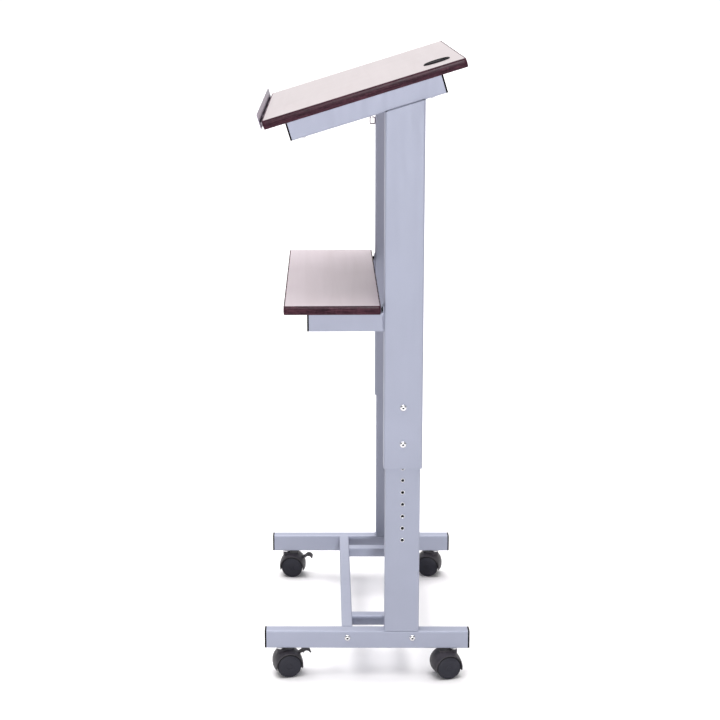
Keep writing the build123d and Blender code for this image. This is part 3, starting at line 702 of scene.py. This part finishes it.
def wheel_piece(name, wheel):
    """A hollow moulded wheel: domed face with a ring groove and hub cap, ribs inside."""
    node = f"caster_wheel_{name}_{wheel}"
    place = caster_place(name, wheel)
    low, high = span(node, place)
    inner, outer, radius = low.z / mm, high.z / mm, high.x / mm
    groove = (inner + outer) / 2
    tread_start = 23.4 * mm
    face = [  # (radius, height) in millimetres, from the hub cap out to the shoulder
        (0.0, outer - 0.35), (4.2, outer - 0.32), (4.8, outer - 0.42), (5.1, outer - 0.75),
        (5.5, outer - 0.80), (5.8, outer - 0.45), (6.4, outer - 0.05), (7.2, outer), (11.0, outer - 0.03),
        (15.0, outer - 0.16), (18.2, outer - 0.34), (19.6, outer - 0.46), (20.0, outer - 0.95),
        (20.7, outer - 0.98), (21.1, outer - 0.50), (21.9, outer - 0.48), (22.8, outer - 0.72),
        (23.7, outer - 1.25), (24.4, outer - 2.00), (24.8, outer - 2.9),
    ]
    back = [  # the tread with its centre groove, then the hollow inside and the hub
        (radius, outer - 4.0), (radius, groove + 0.35), (radius - 0.18, groove),
        (radius, groove - 0.35), (radius, inner + 2.2), (24.7, inner + 1.1), (24.1, inner + 0.4),
        (23.3, inner), (21.0, inner), (20.6, inner + 0.4), (20.5, inner + 1.0), (20.5, outer - 2.6),
        (20.1, outer - 2.4), (7.4, outer - 2.4), (7.0, outer - 2.8), (7.0, inner + 0.4), (6.7, inner),
        (3.5, inner), (3.05, inner + 0.4), (3.05, outer - 1.4), (0.0, outer - 1.4),
    ]
    bm = bmesh.new()
    lathe(bm, place, [(r * mm, z * mm) for r, z in face + back], steps=72)
    rib_count = 12
    for i in range(rib_count):
        turn = Matrix.Rotation(2 * pi * i / rib_count, 4, "Z")
        rings = []
        for r, half in ((6.6, 0.75), (12.0, 0.55), (20.9, 0.75)):
            rings.append(
                [
                    place @ turn @ Vector((r * mm, y * mm, z * mm))
                    for y, z in (
                        (-half - 0.2, outer - 2.3), (-half, outer - 3.2), (-half + 0.15, inner + 2.4),
                        (half - 0.15, inner + 2.4), (half, outer - 3.2), (half + 0.2, outer - 2.3),
                    )
                ]
            )
        loft(bm, rings, caps=True)
    inverse = place.inverted()
    for f in bm.faces:
        middle = inverse @ f.calc_center_median()
        away = sqrt(middle.x**2 + middle.y**2)
        f.material_index = 1 if away > tread_start else 0
    new_piece(
        f"{node}_moulding", bm, body_of[node], ["wheel_nylon", "tread"], (node,), sharp=50.0
    )


for name in ("front_left", "front_right", "rear_left", "rear_right"):
    refine(f"caster_hood_{name}", 0.30 * mm)
    refine(f"caster_axle_{name}", 0.25 * mm)
    for wheel in ("outer", "inner"):
        wheel_piece(name, wheel)
for name in ("front_left", "front_right"):
    refine(f"brake_lever_{name}", 0.60 * mm, segments=3)

# Floor, lights and camera

bm = bmesh.new()
bmesh.ops.create_grid(bm, x_segments=24, y_segments=24, size=30.0)
floor_mesh = bpy.data.meshes.new("floor")
bm.to_mesh(floor_mesh)
bm.free()
floor = bpy.data.objects.new("floor", floor_mesh)
scene.collection.objects.link(floor)
s = Shader("studio_floor")
s.set(Specular_IOR_Level=0.2)
cloud = s.noise(1.3, detail=3.0)
seen = s.tree.nodes.new("ShaderNodeLightPath").outputs["Is Camera Ray"]
dull = s.ramp(cloud, (0.2, (0.70, 0.695, 0.70)), (0.8, (0.72, 0.715, 0.72)))
white = s.ramp(cloud, (0.2, (0.94, 0.93, 0.94)), (0.8, (0.96, 0.95, 0.96)))
floor_mesh.materials.append(s.finish(s.mix(seen, dull, white), s.remap(cloud, 0.0, 1.0, 0.6, 0.7)))


def sun(name, direction, strength, spread, colour):
    data = bpy.data.lights.new(name, "SUN")
    data.energy = strength
    data.angle = radians(spread)
    data.color = colour
    light = bpy.data.objects.new(name, data)
    light.rotation_euler = Vector(direction).to_track_quat("-Z", "Y").to_euler()
    scene.collection.objects.link(light)


sun("overhead_softbox", (0.12, 0.12, -1.0), 3.6, 60.0, (1.0, 0.985, 0.985))
sun("front_softbox", (-0.985, -0.03, -0.12), 1.0, 4.0, (0.97, 0.98, 1.0))

world = bpy.data.worlds.new("studio")
world.use_nodes = True
tree = world.node_tree
background = tree.nodes["Background"]
background.inputs["Color"].default_value = (1.0, 1.0, 1.0, 1.0)
direction = tree.nodes.new("ShaderNodeTexCoord")
facing = tree.nodes.new("ShaderNodeVectorMath")
facing.operation = "DOT_PRODUCT"
facing.inputs[1].default_value = (-0.6, 0.0, 0.8)
tree.links.new(direction.outputs["Generated"], facing.inputs[0])
height = tree.nodes.new("ShaderNodeMapRange")  # bright overhead and behind, dim in front
height.inputs["From Min"].default_value = -0.6
height.inputs["To Min"].default_value = 0.03
height.inputs["To Max"].default_value = 0.85
tree.links.new(facing.outputs["Value"], height.inputs["Value"])
rays = tree.nodes.new("ShaderNodeLightPath")
level = tree.nodes.new("ShaderNodeMapRange")  # plain white where the camera sees past the floor
level.inputs["To Max"].default_value = 1.05
tree.links.new(rays.outputs["Is Camera Ray"], level.inputs["Value"])
tree.links.new(height.outputs["Result"], level.inputs["To Min"])
tree.links.new(level.outputs["Result"], background.inputs["Strength"])
scene.world = world
scene.view_settings.view_transform = "Standard"

yaw, pitch, roll = 0.026, 0.218, -0.010
forward = Vector((-cos(yaw) * cos(pitch), -sin(yaw) * cos(pitch), -sin(pitch)))
right = Vector((-sin(yaw), cos(yaw), 0.0))
upward = right.cross(forward)
right, upward = right * cos(roll) + upward * sin(roll), upward * cos(roll) - right * sin(roll)
lens = bpy.data.cameras.new("camera")
lens.lens = 74.086
lens.sensor_width = 36.0
lens.shift_x = 0.1008
lens.shift_y = -0.0998
lens.clip_end = 100.0
camera = bpy.data.objects.new("camera", lens)
camera.matrix_world = matrix((3.0845, -0.0828, 1.4454), right, upward, -forward)
scene.collection.objects.link(camera)
scene.camera = camera
